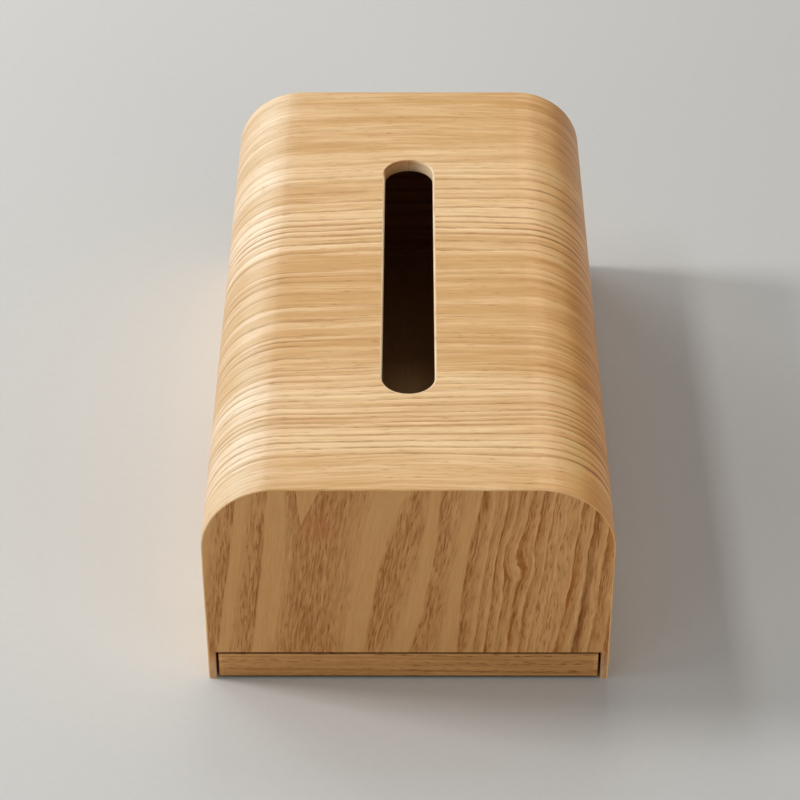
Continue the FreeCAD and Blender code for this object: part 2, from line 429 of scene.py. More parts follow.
def makeShellAsh(look):
    material, shader, place = startMaterial("shellAsh")
    along = useGroup(bendRuler, Place=place)["Along"]
    y = inMillimetres(place)[1]
    lean = calc("MINIMUM", along, 0.0) * -look["lean"]
    drift = centred(noise(along, y, 2.3, look["driftWave"], 1.0), look["drift"])
    across = y - caseMm["frontY"] + lean + drift
    ring = ruler(across, look["rings"])
    ahead = ruler(across + 1.0, look["rings"])
    fade = calc("MAXIMUM", (ahead - ring) * look["lineWidth"], 0.04)
    rings = useGroup(
        growthRings, Ring=ring, Along=along, Across=across, Fade=fade, Sharp=look["ringSharp"],
        Wobble=look["ringWobble"], Broken=look["ringBroken"],
    )
    leftStrength = ruler(across, look["leftStrength"]) * stretch(along, *look["leftShare"])
    strength = calc("MAXIMUM", ruler(across, look["strength"]), leftStrength)
    line = rings["Line"] * strength
    grain = useGroup(
        openPores, Along=along, Across=across, Length=look["poreLength"], Pitch=look["porePitch"],
        Share=scaled(line, 0.5, look["poreShare"]), Thread=look["poreThread"], Seed=1.7,
    )
    cloud = noise(along, across, 8.1, look["cloudWave"], 4.0)
    # the last two parts of the tone are painted light on the right bend
    tone = (
        ruler(across, look["tone"])
        + centred(cloud, look["cloud"])
        + centred(grain["Streaks"], 0.35)
        + stretch(rings["Phase"], *look["flank"]) * strength
        + stretch(along, *look["bendLitStart"])
        + stretch(along, *look["bendLitEnd"])
    )
    # the lines stand out more where the sheet is bent
    bends = stretch(along, *look["leftLines"]) + stretch(along, *look["rightLines"])
    line = line * scaled(grain["Streaks"], 0.4, 0.66) * bends
    color = finishWood(shader, look, tone, line, grain["Pores"], grain["Fibre"])
    # painted sheen, highlight and shade, multiplied over the sheet by how far along it the place lies
    channels = [ruler(along, [(spot[0], spot[part]) for spot in look["paintedLightTint"]]) for part in (1, 2, 3)]
    paintedLightColor = mixColor(1.0, color, combine(*channels), "MULTIPLY")
    # the sheet's own edge, seen from the front or the back, keeps the plain colour, with little of the
    # painted light and shade
    inside = stretch(abs(y), caseMm["backY"] - 0.5, caseMm["backY"], 1.0, 0.3)
    feed(shader.inputs["Base Color"], mixColor(inside, color, paintedLightColor))
    return material


# ---- ash veneer on the front and the back: a leaning cathedral figure, with a small knot at the right

faceAshLook = {
    "pale": tint(205, 154, 93),
    "tan": tint(189, 135, 77),
    "line": tint(145, 84, 20),
    "pore": tint(134, 74, 14),
    "lineDepth": 0.9,
    "poreDepth": 0.55,
    "fibreDepth": 0.25,
    "gloss": 0.3,
    "rough": 0.46,
    "coat": 0.1,
    "coatRough": 0.3,
    "bump": 0.35,
    # ring numbers along the top and the foot of the face, from its left edge to its right
    "topRings": [
        (-70, 4.2), (-57.6, 3.0), (-47.0, 2.0), (-36.6, 1.03), (-34.4, 1.02), (-28.4, 1.03), (2.6, 2.0),
        (11.4, 3.0), (25.8, 4.0), (49.7, 10.0), (59.2, 12.0), (64, 13.0), (70, 14.3),
    ],
    "footRings": [
        (-70, 3.3), (-67, 3.0), (-54.9, 2.0), (-44, 1.22), (-36, 1.02), (-29, 1.26), (-14.9, 2.0), (0.5, 3.0),
        (16.8, 4.0), (22.7, 5.0), (44.6, 11.0), (56.8, 13.0), (70, 15.4),
    ],
    # how strong each ring is
    "strength": [(0, 1), (9.8, 1), (10.3, 0.4), (11.4, 0.4), (12, 1), (15, 1)],
    "tip": (-36.2, 69.5),
    "tipSides": (0.09, 0.44),
    "knot": (37.6, 53.5),
    "knotReach": (4.2, 6.5),
    "knotSpread": 0.62,
    "knotTurn": 0.25,
    "stain": (-29.8, 69.5),
    "stainReach": (6.5, 6.0),
    "stainColor": tint(186, 112, 62),
    "stainDepth": 0.4,
    # the strips beside the drawer are rubbed pale towards the foot
    "rubbed": tint(212, 178, 140),
    "rubbedFrom": 67.0,
    "rubbedFoot": (14.0, 5.0, 0.0, 0.45),
    # one ring carries a dark streak
    "streakRing": 13.1,
    "streak": tint(114, 58, 18),
    "poreLength": 4.5,
    "porePitch": 0.55,
    "poreShare": 0.08,
    "sway": 2.2,
    "swayWave": (20.0, 34.0),
    "rippleWave": (16.0, 5.0),
    "zigzagWave": (4.0, 2.4),
    "mottleWave": (4.0, 60.0),
    # up the face in millimetres: from, to, and the value at each of the two
    "zigzagFoot": (14.0, 34.0, 1.0, 0.1),
    # the same across the face, where the rings are narrow from 18 on
    "zigzagShare": (47.0, 54.0, 0.0, 1.2),
    "rippleShare": (15.0, 40.0, 0.3, 1.0),
    "lean": (-60.0, -20.0, 0.08, 0.16),
    "leanBack": (0.0, 60.0, 0.0, 0.08),
    "fade": (18.0, 28.0, 0.6, 0.8),
    "fadeAtTip": (-41.0, -35.0, -0.18, 0.0),
    "fadeLeft": (-49.0, -46.5, 0.22, 0.0),
    "sharp": (18.0, 28.0, 0.4, 0.75),
    "wobble": (10.0, 28.0, 0.08, 0.38),
    "broken": (18.0, 28.0, 0.15, 0.4),
    "narrowPores": (18.0, 34.0, 0.0, 0.15),
    "narrowLines": (18.0, 34.0, 1.0, 1.5),
    "narrowBusy": (18.0, 34.0, 0.0, 0.6),
    "narrowTone": (18.0, 34.0, 0.4, 1.0),
}


def spotDistance(x, z, middle, reach):
    # squared, and counted in lengths of reach
    return ((x - middle[0]) / reach[0]) ** 2.0 + ((z - middle[1]) / reach[1]) ** 2.0


def makeFaceAsh(name, look, mirror, seed):
    material, shader, place = startMaterial(name)
    x, z = inMillimetres(place)[::2]
    x = x * mirror
    # the grain spreads round the knot, and turns a little
    pull = calc("EXPONENT", spotDistance(x, z, look["knot"], look["knotReach"]) * -0.5)
    offX = x - look["knot"][0]
    offZ = z - look["knot"][1]
    x = x - offX * pull * look["knotSpread"] + offZ * pull * look["knotTurn"]
    # a lazy sway everywhere, ripples round the knot and zig-zags low at the right
    slow = noise(x, z, seed + 4.4, look["swayWave"], 1.0)
    ripple = noise(x, z, seed + 9.2, look["rippleWave"])
    zigzag = noise(x, z, seed + 12.0, look["zigzagWave"])
    zigzagShare = stretch(x, *look["zigzagShare"]) * stretch(z, *look["zigzagFoot"]) + pull * 0.9
    swayed = x + (
        centred(slow, look["sway"])
        + centred(ripple, 1.0) * stretch(x, *look["rippleShare"])
        + centred(zigzag, 1.0) * zigzagShare
    )
    climb = stretch(z, caseMm["openingTop"], caseMm["height"])
    ring = ruler(swayed, look["topRings"]) * climb + ruler(swayed, look["footRings"]) * (1.0 - climb)
    # the light tip between the two sides of the innermost ring
    fromTip = x - look["tip"][0]
    rise = z - look["tip"][1]
    inLeft = fromTip + rise * look["tipSides"][0]
    inRight = rise * look["tipSides"][1] - fromTip
    ring = ring - stretch(calc("MINIMUM", inLeft, inRight), 0.0, 1.6, 0.0, 0.4)
    # pores follow the lean of the rings
    lean = (stretch(x, *look["lean"]) - stretch(x, *look["leanBack"])) * (z - 50.0)
    across = swayed - lean
    # wide rings fade slowly, and the narrow ones at the right are soft lines
    fade = stretch(x, *look["fade"]) + stretch(x, *look["fadeAtTip"]) + stretch(x, *look["fadeLeft"])
    rings = useGroup(
        growthRings, Ring=ring, Along=z, Across=across, Fade=fade, Sharp=stretch(x, *look["sharp"]),
        Wobble=stretch(x, *look["wobble"]), Broken=stretch(x, *look["broken"]), Seed=seed,
    )
    share = scaled(rings["Line"], 0.7, look["poreShare"]) + stretch(x, *look["narrowPores"])
    grain = useGroup(
        openPores, Along=z, Across=across, Length=look["poreLength"], Pitch=look["porePitch"], Share=share,
        Seed=seed + 2.2,
    )
    line = rings["Line"] * scaled(grain["Streaks"], 0.6, 0.42)
    line = line * ruler(ring, look["strength"]) * stretch(x, *look["narrowLines"])
    busy = scaled(rings["Line"], 0.6, 0.25) + stretch(x, *look["narrowBusy"])
    mottle = noise(across, z, seed + 1.1, look["mottleWave"], 3.0)
    tone = busy * centred(mottle, 1.8) + busy * centred(grain["Streaks"], -0.8)
    tone = tone + stretch(x, *look["narrowTone"])
    streak = stretch(abs(ring - look["streakRing"]), 0.05, 0.34, 0.7, 0.0, smooth=True)
    patches = noise(z, across, seed + 14.0, (16.0, 4.0))
    streak = streak * stretch(patches, 0.3, 0.6, 0.5, 1.0) * scaled(grain["Streaks"], 0.4, 0.6)
    # the fibre shows where the early wood is open
    fibre = centred(grain["Fibre"], 1.0) * scaled(busy, 1.7, -0.1) + 0.5
    color = finishWood(shader, look, tone, line, grain["Pores"], fibre, (streak, look["streak"]))
    # a faint warm stain beside the light tip
    stain = calc("EXPONENT", spotDistance(x, z, look["stain"], look["stainReach"]) * -1.0)
    color = mixColor(stain * look["stainDepth"], color, look["stainColor"])
    outer = stretch(abs(x), look["rubbedFrom"] - 0.6, look["rubbedFrom"])
    rubbed = stretch(z, *look["rubbedFoot"]) * outer
    feed(shader.inputs["Base Color"], mixColor(rubbed, color, look["rubbed"]))
    return material


# ---- woods with a straight grain: ash, beech and lining veneer, their lengths in millimetres

def makeStraightWood(name, look, grainAxis, acrossAxis):
    material, shader, place = startMaterial(name)
    axes = dict(zip("xyz", inMillimetres(place)))
    along, level = axes.pop(grainAxis), axes.pop(acrossAxis)
    # the axis that is left goes into the wood
    depth, = axes.values()
    seed = look["seed"]
    across = level + scaled(depth, 0.35)
    across = across + centred(noise(along, across, seed, (80.0, 12.0), 1.0), look["sway"])
    ring = scaled(across, 1.0 / look["ringPitch"], 40.0)
    rings = useGroup(
        growthRings, Ring=ring, Along=along, Across=across, Fade=look["fade"], Sharp=1.2, Wobble=0.5,
        Broken=0.6, Seed=seed,
    )
    grain = useGroup(
        openPores, Along=along, Across=across, Length=look["poreLength"], Pitch=look["porePitch"],
        Share=scaled(rings["Line"], 0.5, look["poreShare"]), Seed=seed + 2.0,
    )
    tone = stretch(noise(along, across, seed + 1.0, (60.0, 3.0), 3.0), 0.3, 0.7)
    if "bands" in look:
        tone = scaled(tone, 0.6, -0.3) + ruler(level + scaled(along, look["bandSlope"]), look["bands"])
    color = finishWood(shader, look, tone, rings["Line"], grain["Pores"], grain["Fibre"])
    if "arris" in look:
        # painted highlights just below the top arris and at both ends, and painted shade at the foot and on
        # the top strip in the gap
        near = stretch(depth, look["arrisFrom"], look["arrisFrom"] + 0.2, 1.0, 0.0)
        paintedLightShade = shadeColor(color, ruler(level, look["arris"]) * ruler(abs(along), look["ends"]))
        feed(shader.inputs["Base Color"], mixColor(near, color, paintedLightShade))
    return material


drawerAshLook = {
    "pale": tint(189, 137, 79),
    "tan": tint(165, 115, 60),
    "line": tint(132, 80, 28),
    "pore": tint(114, 64, 8),
    "lineDepth": 0.35,
    "poreDepth": 0.6,
    "fibreDepth": 0.2,
    "gloss": 0.3,
    "rough": 0.48,
    "coat": 0.08,
    "coatRough": 0.35,
    "bump": 0.35,
    # how tan the rail is from its foot up, and how fast that drops from left to right
    "bands": [
        (0, 0.9), (1.6, 0.85), (2.7, 0.55), (3.6, 0.95), (4.9, 0.15), (6.6, 0.6), (8.3, 0.05), (9.4, 0.75),
        (10.2, 0.2), (12, 0.3),
    ],
    "bandSlope": 0.0176,
    # painted shade and highlights up the front from its foot: dark at the foot and in the top gap, pale below
    # the top arris
    "arris": [
        (0.5, 0.1), (1.0, 0.12), (1.3, 0.4), (1.55, 1.08), (2.1, 1.0), (10.4, 1.0), (10.9, 1.1), (11.35, 1.1),
        (11.5, 0.6), (11.7, 0.4),
    ],
    "arrisFrom": caseMm["drawerFront"] + 0.9,
    # painted highlights at both ends, by distance from the middle
    "ends": [(0, 1.0), (64.5, 1.0), (65.1, 1.18), (65.9, 1.22), (66.3, 0.95)],
    "sway": 3.0,
    "ringPitch": 3.4,
    "fade": 0.5,
    "poreShare": 0.4,
    "poreLength": 4.0,
    "porePitch": 0.5,
    "seed": 3.1,
}

beechLook = {
    "pale": tint(214, 176, 132),
    "tan": tint(202, 160, 114),
    "line": tint(176, 132, 90),
    "pore": tint(150, 104, 68),
    "lineDepth": 0.4,
    "poreDepth": 0.5,
    "fibreDepth": 0.08,
    "gloss": 0.35,
    "rough": 0.6,
    "coat": 0.0,
    "coatRough": 0.4,
    "bump": 0.25,
    "sway": 4.0,
    "ringPitch": 3.0,
    "fade": 0.4,
    "poreShare": 0.3,
    "poreLength": 1.6,
    "porePitch": 0.35,
    "seed": 11.0,
}

liningLook = {
    "pale": tint(180, 132, 84),
    "tan": tint(162, 114, 70),
    "line": tint(128, 84, 48),
    "pore": tint(112, 72, 40),
    "lineDepth": 0.45,
    "poreDepth": 0.4,
    "fibreDepth": 0.1,
    "gloss": 0.3,
    "rough": 0.62,
    "coat": 0.0,
    "coatRough": 0.4,
    "bump": 0.25,
    "sway": 6.0,
    "ringPitch": 6.5,
    "fade": 0.4,
    "poreShare": 0.3,
    "poreLength": 6.0,
    "porePitch": 0.5,
    "seed": 17.0,
}


# ---- birch plywood, its plies counted by depth under a face

plyLook = {
    "pale": tint(222, 186, 138),
    "tan": tint(208, 168, 118),
    "line": tint(182, 138, 90),
    "pore": tint(166, 120, 76),
    "lineDepth": 0.35,
    "poreDepth": 0.4,
    "fibreDepth": 0.08,
    "gloss": 0.12,
    "rough": 0.74,
    "coat": 0.0,
    "coatRough": 0.4,
    "bump": 0.3,
    "endGrain": tint(176, 126, 78),
    "endGrainDepth": 0.8,
    "glue": tint(96, 62, 38),
    "glueWidth": 0.06,
}


def makePlywood(name, look, depthOf, alongAxis, acrossAxis, plies, seed):
    # depthOf gives the depth in plies; odd plies show end grain, and a thin glue line parts them
    material, shader, place = startMaterial(name)
    axes = dict(zip("xyz", inMillimetres(place)))
    along, across = axes[alongAxis], axes[acrossAxis]
    depth = calc("MAXIMUM", depthOf(place, axes, plies), 0.001)
    waver = centred(noise(along, across, seed + 6.0, (12.0, 12.0)), 0.12)
    depth = calc("MINIMUM", depth + waver, plies - 0.001)
    ply = calc("FLOOR", depth)
    between = calc("COMPARE", depth, plies / 2, plies / 2 - 0.5)
    glue = stretch(calc("PINGPONG", depth, 0.5), 0.0, look["glueWidth"], 1.0, 0.0) * between
    ring = noise(along, across, ply + seed, (90.0, 14.0), 1.0) * 9.0
    rings = useGroup(
        growthRings, Ring=ring, Along=along, Across=across, Fade=0.5, Wobble=0.4, Broken=0.5, Seed=seed,
    )
    grain = useGroup(openPores, Along=along, Across=across, Length=3.0, Pitch=0.4, Share=0.3, Seed=seed + 2.0)
    tone = noise(along, across, scaled(ply, 1.7, seed), (50.0, 9.0))
    color = finishWood(shader, look, tone, rings["Line"], grain["Pores"], grain["Fibre"])
    color = mixColor(calc("MODULO", ply, 2.0) * look["endGrainDepth"], color, look["endGrain"])
    feed(shader.inputs["Base Color"], mixColor(glue, color, look["glue"]))
    return material


def bendDepth(place, axes, plies):
    depth = useGroup(bendRuler, Place=place)["Depth"]
    return scaled(depth, plies / caseMm["core"], -caseMm["veneer"] * plies / caseMm["core"])


def flatDepth(node, axis):
    low, high = (getattr(corner, axis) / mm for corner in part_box(node))

    def depthOf(place, axes, plies):
        return scaled(axes[axis], plies / (high - low), -low * plies / (high - low))
    return depthOf


# ---- metals

metalLook = {
    "dull": (0.3, 0.7, 0.82, 1.05),
    "scratchRough": 0.3,
    "dullRough": 0.1,
    "bump": 0.25,
    "scratchDepth": 0.03 * mm,
}


def makeMetal(name, look, color, rough, streaks):
    material, shader, place = startMaterial(name)
    x, y, z = inMillimetres(place)
    scratch = noise(x + y, z, 4.0, streaks, 3.0)
    dull = noise(x, y + z, 9.0, (2.0, 2.0))
    bump = wired("ShaderNodeBump", Strength=look["bump"], Distance=look["scratchDepth"], Height=scratch)
    setUp(
        shader, Base_Color=shadeColor(color, stretch(dull, *look["dull"])), Metallic=1.0, Normal=bump,
        Roughness=rough + centred(scratch, look["scratchRough"]) + centred(dull, look["dullRough"]),
    )
    return material


# ---- geometry helpers

def addPiece(name, mesh):
    piece = bpy.data.objects.new(name, mesh)
    bpy.context.scene.collection.objects.link(piece)
    return piece


def smoothEdges(mesh, degrees=30.0):
    mesh.shade_smooth()
    mesh.set_sharp_from_angle(angle=math.radians(degrees))


def startTree(name, inputs):
    # inputs are lists of labels, by kind
    tree = bpy.data.node_groups.new(name, "GeometryNodeTree")
    tree.interface.new_socket("Geometry", in_out="OUTPUT", socket_type="NodeSocketGeometry")
    for kind, labels in inputs.items():
        for label in labels:
            tree.interface.new_socket(label, in_out="INPUT", socket_type="NodeSocket" + kind)
    return tree, wires(addNode(tree, "NodeGroupInput"))


def endTree(geometry, finish):
    real = wired("GeometryNodeRealizeInstances", Geometry=geometry)
    painted = wired("GeometryNodeSetMaterial", Geometry=real, Material=finish)
    addBeside([painted], "NodeGroupOutput", Geometry=painted)


def bakeTree(name, tree, values):
    # runs the tree once and keeps what it makes as a plain mesh
    holder = addPiece(name + "Holder", bpy.data.meshes.new(name + "Holder"))
    modifier = holder.modifiers.new("make", "NODES")
    modifier.node_group = tree
    for item in tree.interface.items_tree:
        if item.in_out == "INPUT":
            modifier[item.identifier] = values[item.name]
    graph = bpy.context.evaluated_depsgraph_get()
    mesh = bpy.data.meshes.new_from_object(holder.evaluated_get(graph))
    mesh.name = name
    mesh.materials.clear()
    mesh.materials.append(values["Finish"])
    mesh.polygons.foreach_set("material_index", [0] * len(mesh.polygons))
    holder.modifiers.clear()
    bpy.data.objects.remove(holder)
    work = bmesh.new()
    work.from_mesh(mesh)
    bmesh.ops.remove_doubles(work, verts=work.verts, dist=0.001 * mm)
    bmesh.ops.recalc_face_normals(work, faces=work.faces)
    work.to_mesh(mesh)
    work.free()
    smoothEdges(mesh)
    return addPiece(name, mesh)


def sweepAlong(path, profile, normal):
    # the profile's x follows the normal, and its y follows the third direction
    turned = wired("GeometryNodeSetCurveNormal", mode="FREE", Curve=path, Normal=normal)
    return wired("GeometryNodeCurveToMesh", Curve=turned, Profile_Curve=profile, Fill_Caps=True)


def roundCorners(curve, radius, steps):
    return wired("GeometryNodeFilletCurve", mode="POLY", Curve=curve, Radius=radius, Count=steps)


def roundEnded(width, length, steps):
    loop = wired("GeometryNodeCurvePrimitiveQuadrilateral", Width=width, Height=length)
    return roundCorners(loop, width * 0.4999, steps)


def easedRectangle(width, height, ease, steps, side):
    # only the corners on one side of the x axis are eased, where side is 1 or -1
    loop = wired("GeometryNodeCurvePrimitiveQuadrilateral", Width=width, Height=height)
    place = Wire(addBeside([loop], "GeometryNodeInputPosition").outputs[0])
    outer = calc("GREATER_THAN", splitAxes(place)[1] * side, 0.0)
    return roundCorners(loop, outer * ease, steps)


# ---- the shell's face veneer: one sheet bent over the box, with the slot cut through it

shellSkin = {
    "ease": 0.34 * mm,
    "easeSteps": 4,
    "bendSteps": 26,
    "pathPoints": 190,
    "slotSteps": 40,
}


def makeShellSkinTree():
    tree, given = startTree("shellSkin", {
        "Float": [
            "Half Width", "Height", "Length", "Bend Radius", "Veneer", "Ease", "Slot Width", "Slot Length",
        ],
        "Int": ["Ease Steps", "Bend Steps", "Path Points", "Slot Steps"],
        "Material": ["Finish"],
    })
    halfVeneer = given["Veneer"] * 0.5
    side = given["Half Width"] - halfVeneer
    top = given["Height"] - halfVeneer
    left = side * -1.0
    corners = [(left, 0.0), (left, top), (side, top), (side, 0.0)]
    points = {"Point_%d" % number: combine(x, 0.0, z) for number, (x, z) in enumerate(corners, 1)}
    outline = wired("GeometryNodeCurvePrimitiveQuadrilateral", mode="POINTS", **points)
    outline = wired("GeometryNodeSetSplineCyclic", Geometry=outline, Cyclic=False)
    outline = roundCorners(outline, given["Bend Radius"] - halfVeneer, given["Bend Steps"])
    path = wired("GeometryNodeResampleCurve", Curve=outline, Count=given["Path Points"])
    profile = easedRectangle(given["Length"], given["Veneer"], given["Ease"], given["Ease Steps"], 1)
    sheet = sweepAlong(path, profile, (0.0, 1.0, 0.0))
    # the hole for the slot's edge band
    low, high = (combine(0.0, 0.0, given["Height"] * share) for share in (0.9, 1.1))
    stem = wired("GeometryNodeCurvePrimitiveLine", Start=low, End=high)
    hole = roundEnded(given["Slot Width"], given["Slot Length"], given["Slot Steps"])
    plug = sweepAlong(stem, hole, (1.0, 0.0, 0.0))
    cut = wired("GeometryNodeMeshBoolean", operation="DIFFERENCE", solver="EXACT", Mesh_1=sheet, Mesh_2=plug)
    endTree(cut, given["Finish"])
    return tree


shellVeneerSheet = bakeTree("shellVeneerSheet", makeShellSkinTree(), {
    "Half Width": case["half"],
    "Height": case["height"],
    "Length": case["backY"] - case["frontY"],
    "Bend Radius": case["bend"],
    "Veneer": case["veneer"],
    "Ease": shellSkin["ease"],
    "Ease Steps": shellSkin["easeSteps"],
    "Bend Steps": shellSkin["bendSteps"],
    "Path Points": shellSkin["pathPoints"],
    "Slot Width": case["slotWidth"],
    "Slot Length": case["slotLength"],
    "Slot Steps": shellSkin["slotSteps"],
    "Finish": makeShellAsh(shellAshLook),
})
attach(shellVeneerSheet, "case")
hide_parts("shell_face_veneer")
print("shell veneer made")


# ---- the band that lines the slot, with rounded rims

slotBand = {
    "thickness": 0.8 * mm,
    "rim": 0.6 * mm,
    "rimSteps": 5,
    "endSteps": 40,
}

bandLook = dict(shellAshLook)
bandLook.update({
    "pale": tint(226, 182, 126),
    "tan": tint(206, 160, 106),
    # the rim colour is used for the painted highlight on the rounded rim and the painted light on the far end
    "rim": tint(244, 218, 178),
    # the colour of the painted shade on the far end
    "farShade": tint(164, 102, 44),
    "coat": 0.2,
    "porePitch": 0.4,
    "poreShare": 0.35,
    # how far below the top the rim's painted highlight begins and is full
    "rimHighlightFrom": (0.9, 0.35),
    "rimHighlightPatches": (0.3, 0.6, 0.35, 0.85),
    "seam": (0.08, 0.2, 0.35, 0.0),
    # painted shade and painted light across the far end, by a level that tilts with height
    "farShadeSide": (-7.0, 5.0, 0.4, 0.0),
    "farLitSide": (-2.0, 5.0, 0.0, 0.8),
})


def makeBandAsh(look):
    material, shader, place = startMaterial("bandAsh")
    x, y, z = inMillimetres(place)
    # the band's grain runs round the slot
    straight = (caseMm["slotLength"] - caseMm["slotWidth"]) / 2
    past = calc("MAXIMUM", abs(y) - straight, 0.0)
    turn = calc("ARCTAN2", past, abs(x)) * (caseMm["slotWidth"] / 2)
    run = (calc("MINIMUM", abs(y), straight) + turn) * calc("SIGN", y)
    along = run + scaled(calc("SIGN", x), 200.0)
    grain = useGroup(
        openPores, Along=along, Across=z, Length=look["poreLength"], Pitch=look["porePitch"],
        Share=look["poreShare"], Seed=5.5,
    )
    ring = noise(along, z, 6.0, (60.0, 3.0), 1.0) * 7.0
    rings = useGroup(
        growthRings, Ring=ring, Along=along, Across=z, Fade=0.4, Wobble=0.4, Broken=0.6, Seed=3.0,
    )
    tone = noise(along, z, 2.0, (30.0, 2.0))
    # the rounded rim gets a patchy painted highlight, weaker at the far end, and the ends of the band meet in
    # the middle of the far end
    patches = noise(along, z, 12.0, (14.0, 2.0))
    rimLow, rimHigh = (caseMm["height"] - below for below in look["rimHighlightFrom"])
    high = stretch(z, rimLow, rimHigh, smooth=True)
    farEnd = stretch(y, straight - 4.0, straight + 2.0)
    paintedLightShade = high * stretch(patches, *look["rimHighlightPatches"]) * scaled(farEnd, -0.9, 1.0)
    color = finishWood(shader, look, tone, rings["Line"], grain["Pores"], grain["Fibre"], (paintedLightShade, look["rim"]))
    # painted shade on the far end's left half, strongest near the top, and painted light on its right half
    # lower down
    level = x + scaled(z, -1.6, 1.6 * (caseMm["height"] - 2.5))
    farShade = stretch(level, *look["farShadeSide"]) * farEnd * scaled(high, 1.2, 1.0)
    color = mixColor(farShade, color, look["farShade"])
    color = mixColor(stretch(level, *look["farLitSide"]) * farEnd, color, look["rim"])
    seam = stretch(abs(x), *look["seam"]) * farEnd
    feed(shader.inputs["Base Color"], mixColor(seam, color, look["pore"]))
    return material


def makeSlotBandTree():
    tree, given = startTree("slotBand", {
        "Float": ["Slot Width", "Slot Length", "Low", "High", "Thickness", "Rim"],
        "Int": ["Rim Steps", "End Steps"],
        "Material": ["Finish"],
    })
    width = given["Slot Width"] - given["Thickness"]
    length = given["Slot Length"] - given["Thickness"]
    middle = (given["Low"] + given["High"]) * 0.5
    loop = roundEnded(width, length, given["End Steps"])
    path = wired("GeometryNodeTransform", Geometry=loop, Translation=combine(0.0, 0.0, middle))
    tall = given["High"] - given["Low"]
    profile = easedRectangle(tall, given["Thickness"], given["Rim"], given["Rim Steps"], -1)
    endTree(sweepAlong(path, profile, (0.0, 0.0, 1.0)), given["Finish"])
    return tree


slotBandRing = bakeTree("slotBandRing", makeSlotBandTree(), {
    "Slot Width": case["slotWidth"],
    "Slot Length": case["slotLength"],
    "Low": bandLow.z,
    "High": bandHigh.z,
    "Thickness": slotBand["thickness"],
    "Rim": slotBand["rim"],
    "Rim Steps": slotBand["rimSteps"],
    "End Steps": slotBand["endSteps"],
    "Finish": makeBandAsh(bandLook),
})
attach(slotBandRing, "case")
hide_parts("slot_edge_band")
print("slot band made")


# ---- the front's veneer, one leaf with the strips beside the drawer, its lower edges eased

frontLeaf = {
    "ease": 0.38 * mm,
    "easeSteps": 4,
    "bendSteps": 26,
}


def archOutline(inset, steps):
    # from the left foot over the top to the right foot
    half = case["half"] - inset
    bend = case["bend"] - inset
    points = [(-half, 0.0)]
    for side in (-1, 1):
        for step in range(steps + 1):
            angle = math.pi / 2 * step / steps
            if side < 0:
                angle = math.pi / 2 - angle
            x = side * (case["flat"] + bend * math.sin(angle))
            points.append((x, case["shoulder"] + bend * math.cos(angle)))
    points.append((half, 0.0))
    return points


def makeFrontLeaf(sizes, material):
    opening = case["openingHalf"]
    top = case["openingTop"]
    near = 0.001 * mm
    outline = archOutline(case["veneer"], sizes["bendSteps"])
    outline += [(opening, 0.0), (opening, top), (-opening, top), (-opening, 0.0)]
    work = bmesh.new()
    front, back = faceLow.y, faceHigh.y
    face = work.faces.new([work.verts.new((x, front, z)) for x, z in outline])
    pulled = bmesh.ops.extrude_face_region(work, geom=[face])
    moved = [item for item in pulled["geom"] if isinstance(item, bmesh.types.BMVert)]
    bmesh.ops.translate(work, verts=moved, vec=(0.0, back - front, 0.0))
    bmesh.ops.recalc_face_normals(work, faces=work.faces)
    eased = []
    for edge in work.edges:
        ends = [vert.co for vert in edge.verts]
        atFront = all(abs(end.y - front) < near for end in ends)
        if atFront and all(abs(end.x) < opening + near and end.z < top + near for end in ends):
            eased.append(edge)
    bmesh.ops.bevel(
        work, geom=eased, offset=sizes["ease"], segments=sizes["easeSteps"], profile=0.5, affect="EDGES",
    )
    mesh = bpy.data.meshes.new("frontVeneerLeaf")
    work.to_mesh(mesh)
    work.free()
    mesh.materials.append(material)
    smoothEdges(mesh)
    return addPiece("frontVeneerLeaf", mesh)


frontVeneerLeaf = makeFrontLeaf(frontLeaf, makeFaceAsh("frontAsh", faceAshLook, 1.0, 6.0))
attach(frontVeneerLeaf, "case")
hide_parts("front_face_veneer")
print("front veneer made")


# ---- pins, dowels and magnets: one tree sets out a row of small round parts

def makePinRowTree():
    tree, given = startTree("pinRow", {
        "Int": ["Count", "Rows", "Sides"],
        "Vector": ["Start", "Step", "Row Step", "Reach"],
        "Float": ["Radius", "Flute", "Chamfer"],
        "Material": ["Finish"],
    })
    row = wired("GeometryNodeMeshLine", Count=given["Count"], Offset=given["Step"])
    rows = wired(
        "GeometryNodeMeshLine", Count=given["Rows"], Start_Location=given["Start"], Offset=given["Row Step"],
    )
    long = addNode(tree, "ShaderNodeVectorMath", operation="LENGTH", Vector=given["Reach"])
    part = given["Chamfer"] / wires(long)["Value"]
    # the points along one pin: both ends, and where the chamfers start
    stem = wired("GeometryNodeCurvePrimitiveLine", End=given["Reach"])
    spaced = wired("GeometryNodeResampleCurve", Curve=stem, Count=4)
    number = Wire(addNode(tree, "GeometryNodeInputIndex").outputs[0])
    first, second, last = (calc("COMPARE", number, place, 0.1) for place in (1.0, 2.0, 3.0))
    share = first * part + second * (1.0 - part) + last
    spot = wired("ShaderNodeVectorMath", operation="SCALE", Vector=given["Reach"], Scale=share)
    placed = wired("GeometryNodeSetPosition", Geometry=spaced, Position=spot)
    inner = 1.0 - given["Flute"]
    profile = wired("GeometryNodeCurveStar", Points=given["Sides"], Outer_Radius=1.0, Inner_Radius=inner)
    width = given["Radius"] - given["Chamfer"] + (first + second) * given["Chamfer"]
    pin = wired("GeometryNodeCurveToMesh", Curve=placed, Profile_Curve=profile, Scale=width, Fill_Caps=True)
    copies = wired("GeometryNodeInstanceOnPoints", Points=row, Instance=pin)
    everyRow = wired("GeometryNodeInstanceOnPoints", Points=rows, Instance=copies)
    endTree(everyRow, given["Finish"])
    return tree


pinRowTree = makePinRowTree()
pinSteel = makeMetal("pinSteel", metalLook, tint(196, 196, 194), 0.36, (0.4, 3.0))
magnetNickel = makeMetal("magnetNickel", metalLook, tint(206, 204, 200), 0.26, (2.5, 0.3))
dowelBeech = makeStraightWood("dowelBeech", beechLook, "y", "x")

